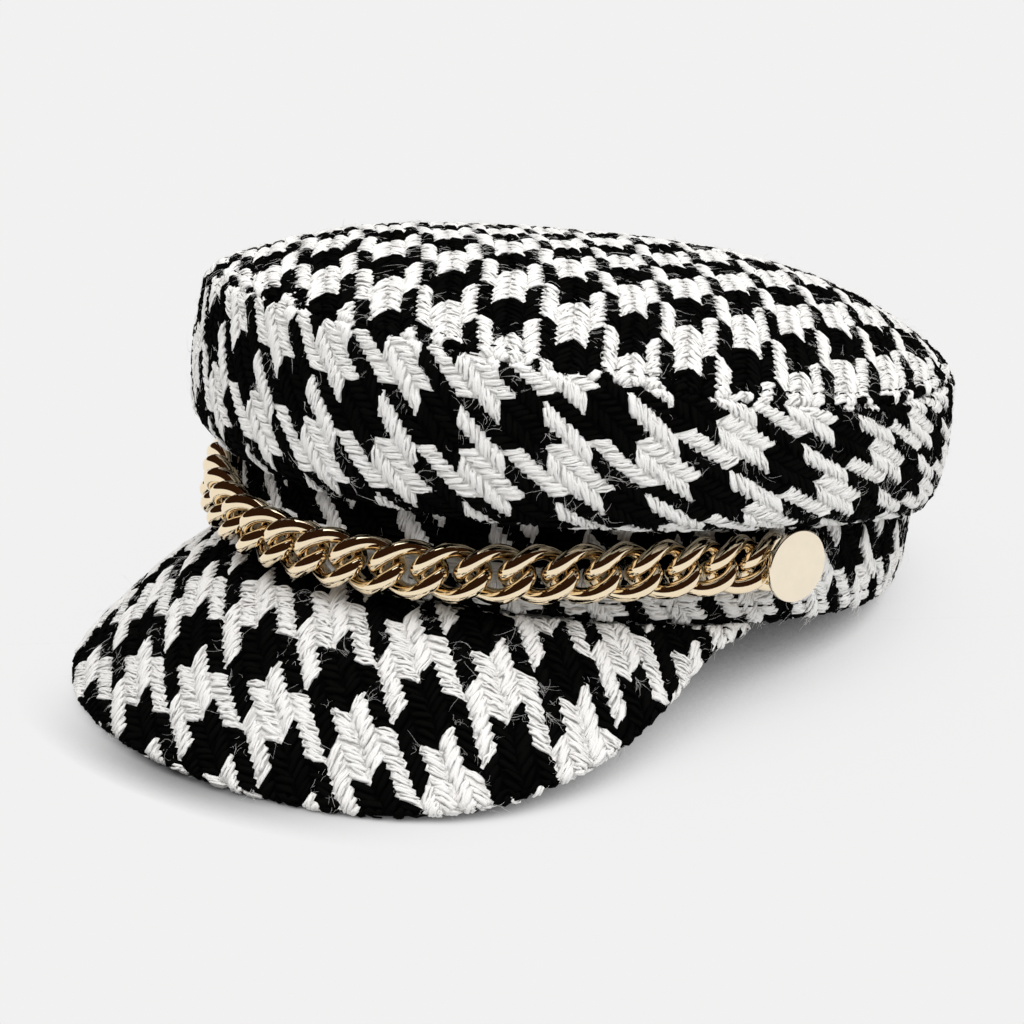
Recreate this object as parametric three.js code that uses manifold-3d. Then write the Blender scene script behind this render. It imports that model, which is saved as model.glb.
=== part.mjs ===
// A soft cadet cap: a puffed crown of two cloth panels on an upright headband, a cloth-covered peak,
// and a curb chain across the front that hangs between two flat round buttons.
// Millimetres, +Z up, the peak points to -Y, the wearer's left is +X.
// The cap stands as it would on a table: on the front of its peak and the back of its headband.
import * as THREE from 'three';
import { mergeVertices } from 'three/addons/utils/BufferGeometryUtils.js';
import Module from 'manifold-3d';

// Driving dimensions
const CLOTH_WALL = 2;
const PIECE_GAP = 0.3;
const NOSE_UP = THREE.MathUtils.degToRad(13);
const STATIONS_AROUND = 56;
const SMALL_STEP = 1e-3;
const SEAM_STEP = 0.01;

// Headband: an upright oval wall whose hem is drawn in. inset is how far a section lies inside the oval.
const BAND_OVAL = { halfWidth: 82.8, halfLength: 106.5, centre: -0.3, egg: 0 };
const BAND_HEM_INSET = 3;
const BAND_HEM_CORNERS = [0.7, 0.3];
const BAND_SECTIONS = [
  { name: 'hem', inset: BAND_HEM_INSET, front: 0.6, side: 0.6, back: 0.6 },
  { name: 'lower', inset: 1.1, front: 4.5, side: 4.5, back: 4.5 },
  { name: 'middle', inset: 0, front: 10, side: 10, back: 11 },
  { name: 'top', inset: 0, front: 36, side: 40, back: 34 },
];

// Crown side, a row for each section from the band up. egg widens a section towards the front.
// front, side and back are heights over the headband's lower edge.
const CROWN_COLUMNS = ['name', 'halfWidth', 'halfLength', 'centre', 'egg', 'front', 'side', 'back'];
const CROWN_SECTIONS = [
  ['joint', 83.15, 106.85, -0.3, 0, 33, 37, 31],
  ['fold', 89.5, 110, -0.3, 0.08, 24, 29.8, 19],
  ['wall foot', 94.2, 113, -1, 0.12, 26.5, 31.8, 21.5],
  ['low bulge', 96.6, 115, -1, 0.126, 31.3, 35.3, 26.5],
  ['bulge', 98, 116.3, -1.2, 0.126, 45.5, 45.4, 39.5],
  ['shoulder', 97.5, 115.8, -1.5, 0.126, 61.4, 56.8, 55.5],
  ['seam', 95.9, 114.2, -1.6, 0.126, 70.5, 63.4, 64],
].map((row) => Object.fromEntries(row.map((value, i) => [CROWN_COLUMNS[i], value])));
const SEAM = CROWN_SECTIONS.at(-1);
const CROWN_OUTSIDE_PLACES = [0, 0.5, 0.8, 1, 1.4, 2, 3, 3.5, 4, 4.5, 5, 5.5, 6];
const CROWN_INSIDE_PLACES = [5, 4, 3, 2, 1.4, 1, 0.6, 0];

// Crown top: a dome that rises from the seam
const DOME_RISE = 21.4;
const DOME_ROUNDING = 3.4;
const DOME_OUTSIDE_SHARES = [0.95, 0.88, 0.79, 0.66, 0.48, 0.26];
const DOME_INSIDE_SHARES = [0.26, 0.5, 0.72, 0.88];

// Peak, a row for each station from the middle to the corner. angle is the place on the headband,
// x, y and z are the outer edge, and thick is the whole thickness there.
const PEAK_STATIONS = [
  { angle: 0, x: 0, y: -139.9, z: -51, thick: 3.4 },
  { angle: 15, x: 31.2, y: -136.5, z: -50.2, thick: 3.4 },
  { angle: 30, x: 58.4, y: -126.2, z: -47, thick: 3.4 },
  { angle: 45, x: 78, y: -108.5, z: -40.3, thick: 3.4 },
  { angle: 59, x: 87.3, y: -82, z: -29.2, thick: 3.4 },
  { angle: 68, x: 87, y: -59, z: -17.5, thick: 3 },
  { angle: 75, x: 82.6, y: -37, z: -5.5, thick: 2.4 },
  { angle: 80, x: 80.5, y: -22.5, z: -1.8, thick: 1.8 },
];
const PEAK_FRONT = PEAK_STATIONS[0];
const PEAK_PRESSED = 0.3;
const PEAK_BOW = 6;
const PEAK_EDGE_ROUND = 1.2;
const PEAK_STEPS_PER_ROW = 3;
const PEAK_SHARES = [1, 0.9, 0.75, 0.55, 0.35, 0.15];

// Chain: curb links that stand off the headband and sag between the buttons
const LINK_COUNT = 25;
const LINK_WIRE = 4.4;
const LINK_LENGTH = 17.4;
const LINK_WIDTH = 11.8;
const LINK_TWIST = THREE.MathUtils.degToRad(55);
const LINK_SIDES = 14;
const WIRE_SIDES = 6;
const LINK_HALF_DEPTH = Math.abs(linkWire(Math.PI / 4).z) + LINK_WIRE / 2;
const CHAIN_STAND_OFF = LINK_HALF_DEPTH + PIECE_GAP;
const CHAIN_SAG = 12.4;
const CHAIN_FRONT_REACH = 0.5;
const POST_TO_LINK = 3;
const CHAIN_PATH_STEPS = 60;

// Buttons: a flat disc on a post through the end link and the headband, held by a small plate inside
const BUTTON_ANGLE = THREE.MathUtils.degToRad(79.8);
const BUTTON_HEIGHT = 20.1;
const BUTTON_RADIUS = 9.9;
const BUTTON_DISC = 1.6;
const BUTTON_CHAMFER = 0.4;
const BUTTON_OVER_LINK = 1.3;
const BUTTON_SIDES = 24;
const POST_RADIUS = 1.8;
const POST_HOLE_SIDES = 12;
const POST_HOLE_LENGTH = 16;
const BACK_PLATE_RADIUS = 5;
const BACK_PLATE = 1;

const TWEED = new THREE.MeshStandardMaterial({ color: 0x7d7b77, roughness: 0.95, metalness: 0 });
const CHAIN_GOLD = new THREE.MeshStandardMaterial({ color: 0xd8b277, roughness: 0.14, metalness: 1 });
const BUTTON_GOLD = new THREE.MeshStandardMaterial({ color: 0xeed6ae, roughness: 0.2, metalness: 1 });

const UP = new THREE.Vector3(0, 0, 1);

function ovalPoint(oval, angle, height) {
  const x = oval.halfWidth * Math.sin(angle) * (1 + oval.egg * Math.cos(angle));
  const y = oval.centre - oval.halfLength * Math.cos(angle);
  return new THREE.Vector3(x, y, height);
}

function ovalOutward(oval, angle) {
  const x = Math.sin(angle) / oval.halfWidth;
  const y = -Math.cos(angle) / oval.halfLength;
  return new THREE.Vector3(x, y, 0).normalize();
}

function grownOval(oval, growth) {
  return { ...oval, halfWidth: oval.halfWidth + growth, halfLength: oval.halfLength + growth };
}

// A height that is level across the cap and passes through its front, side and back values.
function heightAt(row, angle) {
  const c = Math.cos(angle);
  const lean = (row.front - row.back) / 2;
  const dish = (row.front + row.back) / 2 - row.side;
  return row.side + lean * c + dish * c * c;
}

// One column of a table, smoothed through its rows. A place of 2.5 lies halfway from row 2 to row 3.
function columnAt(rows, column, place) {
  const last = rows.length - 1;
  const i = THREE.MathUtils.clamp(Math.floor(place), 0, last - 1);
  const t = place - i;
  const at = (k) => rows[k][column];
  const before = i > 0 ? at(i - 1) : 2 * at(0) - at(1);
  const after = i + 2 <= last ? at(i + 2) : 2 * at(last) - at(last - 1);
  const slope = (at(i + 1) - before) / 2;
  const nextSlope = (after - at(i)) / 2;
  const step = at(i + 1) - at(i);
  return at(i) + t * (slope + t * (3 * step - 2 * slope - nextSlope + t * (slope + nextSlope - 2 * step)));
}

function rowAt(rows, place) {
  const columns = Object.keys(rows[0]).filter((column) => column !== 'name');
  return Object.fromEntries(columns.map((column) => [column, columnAt(rows, column, place)]));
}

// The table's height under a point, in the frame of the untilted cap. The peak's front stands on it.
function tableHeight(y) {
  const front = PEAK_FRONT.z - PEAK_FRONT.thick / 2 + PEAK_PRESSED;
  return front + (y - PEAK_FRONT.y) * Math.tan(NOSE_UP);
}

// Cloth that would sink into the table is pressed flat on it.
function settled(point) {
  return new THREE.Vector3(point.x, point.y, Math.max(point.z, tableHeight(point.y)));
}

function outwardNormal(surface, angle, place) {
  const across = surface(angle + SMALL_STEP, place).sub(surface(angle - SMALL_STEP, place));
  const along = surface(angle, place + SMALL_STEP).sub(surface(angle, place - SMALL_STEP));
  return across.cross(along).normalize();
}

// A closed body from a grid of points: columns go round the piece, and each column is a closed section.
// An open piece is capped at its first and last column.
function sectionedBody(columns, closedRound) {
  const size = columns[0].length;
  const count = columns.length;
  const faces = [];
  const spans = closedRound ? count : count - 1;
  for (let i = 0; i < spans; i += 1) {
    const next = (i + 1) % count;
    for (let j = 0; j < size; j += 1) {
      const up = (j + 1) % size;
      faces.push(i * size + j, next * size + j, next * size + up);
      faces.push(i * size + j, next * size + up, i * size + up);
    }
  }
  if (!closedRound) {
    const lastColumn = (count - 1) * size;
    const half = size / 2;
    for (let j = 0; j < half - 1; j += 1) {
      const far = size - 1 - j;
      faces.push(j, j + 1, far - 1, j, far - 1, far);
      faces.push(lastColumn + j, lastColumn + far - 1, lastColumn + j + 1);
      faces.push(lastColumn + j, lastColumn + far, lastColumn + far - 1);
    }
  }
  return indexedGeometry(columns.flat(), faces);
}

function indexedGeometry(points, faces) {
  const geometry = new THREE.BufferGeometry();
  geometry.setFromPoints(points);
  geometry.setIndex(faces);
  return geometry;
}

function anglesAround() {
  return Array.from({ length: STATIONS_AROUND }, (_, i) => (2 * Math.PI * i) / STATIONS_AROUND);
}

const wasm = await Module();
wasm.setup();

function manifoldOf(geometry) {
  const bare = geometry.clone();
  bare.deleteAttribute('normal');
  bare.deleteAttribute('uv');
  const merged = mergeVertices(bare);
  const vertProperties = new Float32Array(merged.attributes.position.array);
  const triVerts = new Uint32Array(merged.index.array);
  return new wasm.Manifold(new wasm.Mesh({ numProp: 3, vertProperties, triVerts }));
}

function cutAway(geometry, cutters) {
  let solid = manifoldOf(geometry);
  for (const cutter of cutters) {
    solid = solid.subtract(manifoldOf(cutter));
  }
  const mesh = solid.getMesh();
  const result = new THREE.BufferGeometry();
  result.setAttribute('position', new THREE.BufferAttribute(mesh.vertProperties, 3));
  result.setIndex(new THREE.BufferAttribute(mesh.triVerts, 1));
  return result;
}

// Crown
function crownWall(angle, place) {
  const section = rowAt(CROWN_SECTIONS, place);
  return ovalPoint(section, angle, heightAt(section, angle));
}

function crownDome(angle, share) {
  const middle = (SEAM.front + 2 * SEAM.side + SEAM.back) / 4;
  const level = middle + (heightAt(SEAM, angle) - middle) * share;
  const oval = {
    halfWidth: SEAM.halfWidth * share,
    halfLength: SEAM.halfLength * share,
    centre: SEAM.centre,
    egg: SEAM.egg * share,
  };
  return ovalPoint(oval, angle, level + DOME_RISE * (1 - Math.max(share, 0) ** DOME_ROUNDING));
}

// The two panels meet in a mitre, so both edges at the seam share one slanting face.
function seamMitre(angle) {
  const lastPlace = CROWN_SECTIONS.length - 1;
  const sideNormal = outwardNormal(crownWall, angle, lastPlace - SEAM_STEP);
  const topNormal = outwardNormal(crownDome, angle, 1 - SEAM_STEP).negate();
  const inward = sideNormal.clone().add(topNormal).normalize().negate();
  const depth = CLOTH_WALL / -inward.dot(sideNormal);
  const towardsTop = topNormal.clone().sub(sideNormal).normalize();
  return { inward: inward.multiplyScalar(depth), halfGap: towardsTop.multiplyScalar(PIECE_GAP / 2) };
}

function crownSide() {
  const columns = anglesAround().map((angle) => {
    const { inward, halfGap } = seamMitre(angle);
    const outside = CROWN_OUTSIDE_PLACES.map((place) => crownWall(angle, place));
    const seam = outside.at(-1).sub(halfGap);
    const inside = CROWN_INSIDE_PLACES.map((place) => {
      const normal = outwardNormal(crownWall, angle, place);
      return crownWall(angle, place).addScaledVector(normal, -CLOTH_WALL);
    });
    return [...outside, seam.clone().add(inward), ...inside];
  });
  return sectionedBody(columns, true);
}

function crownTop() {
  const angles = anglesAround();
  const rings = [];
  const outsideRing = (share) => angles.map((angle) => crownDome(angle, share));
  const insideRing = (share) => angles.map((angle) => {
    const normal = outwardNormal(crownDome, angle, share);
    return crownDome(angle, share).addScaledVector(normal, CLOTH_WALL);
  });
  const mitres = angles.map(seamMitre);
  const edge = angles.map((angle, i) => crownDome(angle, 1).add(mitres[i].halfGap));
  rings.push(edge, ...DOME_OUTSIDE_SHARES.map(outsideRing));
  const outsideCount = rings.length;
  rings.push(...DOME_INSIDE_SHARES.map(insideRing));
  rings.push(edge.map((point, i) => point.clone().add(mitres[i].inward)));
  const outsidePole = crownDome(0, 0);
  const insidePole = outsidePole.clone().addScaledVector(UP, -CLOTH_WALL);
  const size = angles.length;
  const poles = rings.length * size;
  const faces = [];
  for (let i = 0; i < size; i += 1) {
    const next = (i + 1) % size;
    for (let ring = 0; ring < rings.length; ring += 1) {
      if (ring !== outsideCount - 1) {
        const here = ring * size;
        const up = ((ring + 1) % rings.length) * size;
        faces.push(here + i, here + next, up + next, here + i, up + next, up + i);
      }
    }
    const topRing = (outsideCount - 1) * size;
    const underRing = outsideCount * size;
    faces.push(topRing + i, topRing + next, poles);
    faces.push(underRing + next, underRing + i, poles + 1);
  }
  return indexedGeometry([...rings.flat(), outsidePole, insidePole], faces);
}

// Headband and peak
function headband() {
  const columns = anglesAround().map((angle) => {
    const wall = (growth) => BAND_SECTIONS.map((section) => {
      return ovalPoint(grownOval(BAND_OVAL, growth - section.inset), angle, heightAt(section, angle));
    });
    const outside = wall(0);
    const inside = wall(-CLOTH_WALL).reverse();
    const hem = BAND_HEM_CORNERS.map((share) => {
      return ovalPoint(grownOval(BAND_OVAL, -BAND_HEM_INSET - share * CLOTH_WALL), angle, 0);
    });
    return [...outside, ...inside, ...hem].map(settled);
  });
  const holes = [1, -1].map((side) => {
    const bore = POST_RADIUS + PIECE_GAP;
    const hole = new THREE.CylinderGeometry(bore, bore, POST_HOLE_LENGTH, POST_HOLE_SIDES);
    return hole.applyMatrix4(buttonPlace(side));
  });
  return cutAway(sectionedBody(columns, true), holes);
}

// One section of the peak: the rim, the top inwards to its seat under the hem, and the underside back out.
function peakSection(row) {
  const angle = THREE.MathUtils.degToRad(row.angle);
  const seat = ovalPoint(grownOval(BAND_OVAL, -BAND_HEM_INSET), angle, -PIECE_GAP);
  const margin = ovalPoint(grownOval(BAND_OVAL, -BAND_HEM_INSET - CLOTH_WALL), angle, -PIECE_GAP);
  const edge = new THREE.Vector3(row.x, row.y, row.z);
  const run = edge.clone().sub(seat);
  const sideways = new THREE.Vector3(Math.cos(angle), Math.sin(angle), 0);
  const through = run.clone().cross(sideways).normalize();
  through.multiplyScalar((Math.sign(through.z) * row.thick) / 2);
  const middle = PEAK_SHARES.map((share) => {
    const lift = PEAK_BOW * Math.cos(angle) * Math.sin(Math.PI * share);
    return seat.clone().addScaledVector(run, share).addScaledVector(UP, lift);
  });
  const rim = edge.clone().addScaledVector(run.normalize(), PEAK_EDGE_ROUND);
  const top = middle.map((point) => point.clone().add(through));
  const underside = middle.map((point) => point.clone().sub(through)).reverse();
  const drop = new THREE.Vector3(0, 0, -row.thick);
  const seatUnder = [margin.clone().add(drop), seat.clone().add(drop)];
  const quarter = through.multiplyScalar(0.5);
  const rimTop = rim.clone().add(quarter);
  const rimUnder = rim.clone().sub(quarter);
  return [rimTop, ...top, seat, margin, ...seatUnder, ...underside, rimUnder].map(settled);
}

function peak() {
  const farSide = PEAK_STATIONS.slice(1).reverse();
  const mirrored = farSide.map((row) => ({ ...row, angle: -row.angle, x: -row.x }));
  const rows = [...mirrored, ...PEAK_STATIONS];
  const steps = (rows.length - 1) * PEAK_STEPS_PER_ROW;
  const columns = Array.from({ length: steps + 1 }, (_, i) => {
    return peakSection(rowAt(rows, i / PEAK_STEPS_PER_ROW));
  });
  return sectionedBody(columns, false);
}

// Buttons and chain
function buttonPlace(side) {
  const angle = side * BUTTON_ANGLE;
  const place = ovalPoint(BAND_OVAL, angle, BUTTON_HEIGHT);
  const latheAxis = new THREE.Vector3(0, 1, 0);
  const turn = new THREE.Quaternion().setFromUnitVectors(latheAxis, ovalOutward(BAND_OVAL, angle));
  return new THREE.Matrix4().compose(place, turn, new THREE.Vector3(1, 1, 1));
}

function button() {
  const discUnder = CHAIN_STAND_OFF + LINK_HALF_DEPTH + BUTTON_OVER_LINK;
  const discFace = discUnder + BUTTON_DISC;
  const plateTop = -CLOTH_WALL - PIECE_GAP;
  const profile = [
    [0, plateTop - BACK_PLATE],
    [BACK_PLATE_RADIUS, plateTop - BACK_PLATE],
    [BACK_PLATE_RADIUS, plateTop],
    [POST_RADIUS, plateTop],
    [POST_RADIUS, discUnder],
    [BUTTON_RADIUS - BUTTON_CHAMFER, discUnder],
    [BUTTON_RADIUS, discUnder + BUTTON_CHAMFER],
    [BUTTON_RADIUS, discFace - BUTTON_CHAMFER],
    [BUTTON_RADIUS - BUTTON_CHAMFER, discFace],
    [0, discFace],
  ];
  const outline = profile.map(([radius, height]) => new THREE.Vector2(radius, height));
  return new THREE.LatheGeometry(outline, BUTTON_SIDES);
}

// The middle of a link's wire: an oval ring, twisted along its length.
function linkWire(turn) {
  const twist = -LINK_TWIST * Math.cos(turn);
  const aside = (LINK_WIDTH / 2) * Math.sin(turn);
  return new THREE.Vector3(
    (LINK_LENGTH / 2) * Math.cos(turn),
    aside * Math.cos(twist),
    aside * Math.sin(twist),
  );
}

// A twisted ring of round wire, which lies flat through its neighbours.
function curbLink() {
  const ring = new THREE.TorusGeometry(LINK_LENGTH, LINK_WIRE / 2, WIRE_SIDES, LINK_SIDES);
  const points = ring.attributes.position;
  for (let i = 0; i < points.count; i += 1) {
    const corner = new THREE.Vector3().fromBufferAttribute(points, i);
    const turn = Math.atan2(corner.y, corner.x);
    const aside = Math.hypot(corner.x, corner.y) - LINK_LENGTH;
    const centre = linkWire(turn);
    const along = linkWire(turn + SMALL_STEP).sub(linkWire(turn - SMALL_STEP)).normalize();
    const out = centre.clone().normalize();
    out.addScaledVector(along, -out.dot(along)).normalize();
    const over = out.clone().cross(along);
    centre.addScaledVector(out, aside).addScaledVector(over, corner.z);
    points.setXYZ(i, centre.x, centre.y, centre.z);
  }
  return ring;
}

function chainPath() {
  const points = Array.from({ length: CHAIN_PATH_STEPS + 1 }, (_, i) => {
    const angle = BUTTON_ANGLE * ((2 * i) / CHAIN_PATH_STEPS - 1);
    const front = Math.cos(angle) ** 2;
    const oval = grownOval(BAND_OVAL, CHAIN_STAND_OFF + CHAIN_FRONT_REACH * front);
    return ovalPoint(oval, angle, BUTTON_HEIGHT - CHAIN_SAG * front);
  });
  return new THREE.CatmullRomCurve3(points);
}

const cap = new THREE.Group();

function addPiece(name, geometry, material) {
  const mesh = new THREE.Mesh(geometry, material);
  mesh.name = name;
  cap.add(mesh);
  return mesh;
}

addPiece('crown_top', crownTop(), TWEED);
addPiece('crown_side', crownSide(), TWEED);
addPiece('headband', headband(), TWEED);
addPiece('peak', peak(), TWEED);

addPiece('button_left', button(), BUTTON_GOLD).applyMatrix4(buttonPlace(1));
addPiece('button_right', button(), BUTTON_GOLD).applyMatrix4(buttonPlace(-1));

const path = chainPath();
const pathLength = path.getLength();
const pitch = (pathLength - 2 * POST_TO_LINK) / (LINK_COUNT - 1);
for (let i = 0; i < LINK_COUNT; i += 1) {
  const share = (POST_TO_LINK + i * pitch) / pathLength;
  const along = path.getTangentAt(share);
  const place = path.getPointAt(share);
  const ahead = (BAND_OVAL.centre - place.y) / BAND_OVAL.halfLength;
  const angle = Math.atan2(place.x / BAND_OVAL.halfWidth, ahead);
  const across = ovalOutward(BAND_OVAL, angle).cross(along).normalize();
  const outward = along.clone().cross(across);
  const link = addPiece(`link_${String(i + 1).padStart(2, '0')}`, curbLink(), CHAIN_GOLD);
  link.position.copy(place);
  link.quaternion.setFromRotationMatrix(new THREE.Matrix4().makeBasis(along, across, outward));
}

// The cap leans back, and its frame starts on the table under the middle of the whole.
cap.rotation.x = -NOSE_UP;
const reach = new THREE.Box3().setFromObject(cap, true);
const centre = reach.getCenter(new THREE.Vector3());
cap.position.set(-centre.x, -centre.y, -reach.min.z);

const part = new THREE.Group();
part.add(cap);

export default part;
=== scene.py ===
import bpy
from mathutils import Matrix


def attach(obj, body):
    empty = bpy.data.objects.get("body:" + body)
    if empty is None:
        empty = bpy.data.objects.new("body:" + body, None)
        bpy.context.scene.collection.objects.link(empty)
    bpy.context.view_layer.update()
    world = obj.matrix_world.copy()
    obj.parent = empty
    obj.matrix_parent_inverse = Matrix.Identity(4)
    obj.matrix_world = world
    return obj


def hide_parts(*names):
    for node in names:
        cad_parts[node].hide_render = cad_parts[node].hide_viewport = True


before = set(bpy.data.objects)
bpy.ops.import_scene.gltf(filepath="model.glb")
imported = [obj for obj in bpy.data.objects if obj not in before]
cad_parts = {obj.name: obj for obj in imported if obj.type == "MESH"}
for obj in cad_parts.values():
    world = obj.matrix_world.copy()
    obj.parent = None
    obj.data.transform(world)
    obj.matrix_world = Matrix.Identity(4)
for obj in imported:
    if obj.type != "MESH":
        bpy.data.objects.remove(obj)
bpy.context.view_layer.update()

import math

import bpy
import numpy as np
from mathutils import Matrix, Vector
from mathutils.bvhtree import BVHTree


# Crown side: the puffed wall of the cap, one strip of wool tweed cut on a slight curve and joined at
# the back. It is sewn to the top panel at the shoulder, rolls under at its foot and is sewn to the
# headband there. The thick soft yarns stand up from the cloth, so each one is laid on its own.
# sizes are in mm until stand() turns them to metres
CLOTH_WALL = 2.0
YARN_BED = 0.65
TABLE_GAP = 0.1
NOSE_UP = math.radians(13)
LIFTED = (0.0, 12.5413, 19.5863)
ANGLES_ROUND = np.linspace(-math.pi, math.pi, 181)
# half width, half length, centre, egg, height at the front, at the side and at the back
CROWN_SECTIONS = [
    (83.15, 106.85, -0.3, 0, 33, 37, 31),
    (89.5, 110, -0.3, 0.08, 24, 29.8, 19),
    (94.2, 113, -1, 0.12, 26.5, 31.8, 21.5),
    (96.6, 115, -1, 0.126, 31.3, 35.3, 26.5),
    (98, 116.3, -1.2, 0.126, 45.5, 45.4, 39.5),
    (97.5, 115.8, -1.5, 0.126, 61.4, 56.8, 55.5),
    (95.9, 114.2, -1.6, 0.126, 70.5, 63.4, 64),
]
THREADS_PER_REPEAT = 16
WHITE_THREADS = 8
FLOAT_THREADS = 4
TWILL_STEP = 5
SHORTEST_FLOAT = 0.7
WANDER_STRAIGHT = 0.3
WANDER_SLANTED = 0.25
# strands and points along each, how far its ends run past the float and how uneven they are in threads, its half
# width in threads and half height in mm, and how much size and height vary
WHITE_FLOAT = {
    "strands": 3, "stations": 5, "past": 0.14, "uneven": 0.45,
    "half_width": 0.33, "half_height": 0.3, "varied": 0.2, "lifted": 0.08,
}
BLACK_FLOAT = {
    "strands": 1, "stations": 4, "past": 0.65, "uneven": 0.3,
    "half_width": 0.6, "half_height": 0.36, "varied": 0.05, "lifted": 0.0,
}
STRAND_SPACING = 0.29
STRAND_CORNERS = (90, -15, -165)
FLOAT_FOOT = -0.95
FLOAT_RISE = 0.8
SEAM_DEPTH = 1.5
SEAM_WIDTH = 0.6
SIDE_SWELL = 0.6
SIDE_SWELL_AT = 3.0
SIDE_SWELL_WIDTH = 1.8
SIDE_SEEN_FROM = 0.9
SIDE_STRIP_BEND = 0.0018
SIDE_STRIP_MOST = 0.25
SIDE_CHECK = (7.4, 8.3)
SIDE_REPEAT_ACROSS = (23.9, 0.3)
SIDE_REPEAT_UP = (-3.7, 26.8)
# the cloth was drawn into soft curves over the block: the place they start from in repeats, then the threads aside
# and upward for each repeat from there, across squared, across times up, and up squared
SIDE_DRAWN_FROM = (2.9, 0.4)
SIDE_DRAWN_ASIDE = (0.04, 0.74, -1.0)
SIDE_DRAWN_UPWARD = (-0.14, 0.07, -0.3)
DRAWN_REACH = (-6, 8)


def stand(points):
    """Points of the level cap in mm, tipped back onto the table, in metres."""
    x, y, z = np.moveaxis(np.asarray(points, float), -1, 0)
    back = y * math.cos(NOSE_UP) + z * math.sin(NOSE_UP)
    up = z * math.cos(NOSE_UP) - y * math.sin(NOSE_UP)
    tipped = (np.stack([x, back, up], -1) + LIFTED) / 1000
    tipped[..., 2] = np.maximum(tipped[..., 2], TABLE_GAP / 1000)
    return tipped


def smooth_row(rows, place):
    """A table's row at a place between its rows: 2.5 lies halfway from row 2 to row 3."""
    rows = np.asarray(rows, float)
    whole = np.clip(np.floor(place).astype(int), 0, len(rows) - 2)
    t = (place - whole)[..., None]
    padded = np.vstack([2 * rows[0] - rows[1], rows, 2 * rows[-1] - rows[-2]])
    before, here, there, after = (padded[whole + k] for k in range(4))
    slope = (there - before) / 2
    next_slope = (after - here) / 2
    step = there - here
    rounding = 3 * step - 2 * slope - next_slope
    return here + t * (slope + t * (rounding + t * (slope + next_slope - 2 * step)))


def height_round(front, side, back, angle):
    c = np.cos(angle)
    return side + (front - back) / 2 * c + ((front + back) / 2 - side) * c * c


def lengths_along(grid, axis):
    steps = np.linalg.norm(np.diff(grid, axis=axis), axis=-1)
    start = np.zeros_like(np.take(steps, [0], axis=axis))
    return np.concatenate([start, np.cumsum(steps, axis=axis)], axis=axis)


def outward(grid, closed):
    """The way out of the cloth at each point of a grid that runs round the cap and then up."""
    around = np.gradient(grid, axis=0)
    if closed:
        padded = np.concatenate([grid[-2:-1], grid, grid[1:2]])
        around = padded[2:] - padded[:-2]
    out = np.cross(around, np.gradient(grid, axis=1))
    return out / np.linalg.norm(out, axis=-1, keepdims=True)


def bell(distance, width):
    """A soft rise or dip: 1 at no distance, falling away over the width."""
    return np.exp(-((distance / width) ** 2))


def crown_wall(angle, place):
    w, l, centre, egg, front, side, back = np.moveaxis(smooth_row(CROWN_SECTIONS, place), -1, 0)
    c = np.cos(angle)
    x = w * np.sin(angle) * (1 + egg * c)
    return np.stack([x, centre - l * c, height_round(front, side, back, angle)], -1)


def hand_woven(threads):
    """Thread counts that wander a little, as loosely woven threads do."""
    i, j = threads[..., 0], threads[..., 1]
    aside = WANDER_STRAIGHT * np.sin(0.23 * j + 1.3) + WANDER_SLANTED * np.sin(0.11 * i + 0.17 * j)
    ahead = WANDER_STRAIGHT * np.sin(0.19 * i + 0.4) + WANDER_SLANTED * np.sin(0.13 * i - 0.21 * j)
    return threads + np.stack([aside, ahead], -1)


def cloth_panel(points, flat, threads, closed):
    """A panel as a grid: its points in mm, where each lay in the flat cut, and its thread counts there."""
    threads = hand_woven(threads)
    count, size = points.shape[:2]
    index = np.arange(count * size).reshape(count, size)
    quads = np.stack([index[:-1, :-1], index[1:, :-1], index[1:, 1:], index[:-1, 1:]], -1).reshape(-1, 4)
    corners = np.concatenate([quads[:, [0, 1, 2]], quads[:, [0, 2, 3]]])
    spread = threads.reshape(-1, 2)
    level = np.column_stack([spread, np.zeros(len(spread))])
    return {
        "points": points,
        "normals": outward(points, closed),
        "flat": flat,
        "threads": threads,
        "closed": closed,
        "quads": quads,
        "corners": corners,
        "tree": BVHTree.FromPolygons(level.tolist(), corners.tolist()),
    }


def on_cloth(panel, spots):
    """Points and normals of the worn cloth at thread counts, and whether each lies on the panel."""
    hits = [panel["tree"].find_nearest((i, j, 0), 0.05)[2] for i, j in spots]
    inside = np.array([hit is not None for hit in hits])
    corners = panel["corners"][np.array([hit if hit is not None else 0 for hit in hits])]
    a, b, c = np.moveaxis(panel["threads"].reshape(-1, 2)[corners], 1, 0)
    ab, ac, at = b - a, c - a, spots - a
    whole = ab[:, 0] * ac[:, 1] - ab[:, 1] * ac[:, 0]
    share_b = (at[:, 0] * ac[:, 1] - at[:, 1] * ac[:, 0]) / whole
    share_c = (ab[:, 0] * at[:, 1] - ab[:, 1] * at[:, 0]) / whole
    shares = np.stack([1 - share_b - share_c, share_b, share_c], -1)[..., None]
    points = (panel["points"].reshape(-1, 3)[corners] * shares).sum(1)
    normals = (panel["normals"].reshape(-1, 3)[corners] * shares).sum(1)
    return points, normals / np.linalg.norm(normals, axis=-1, keepdims=True), inside


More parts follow.
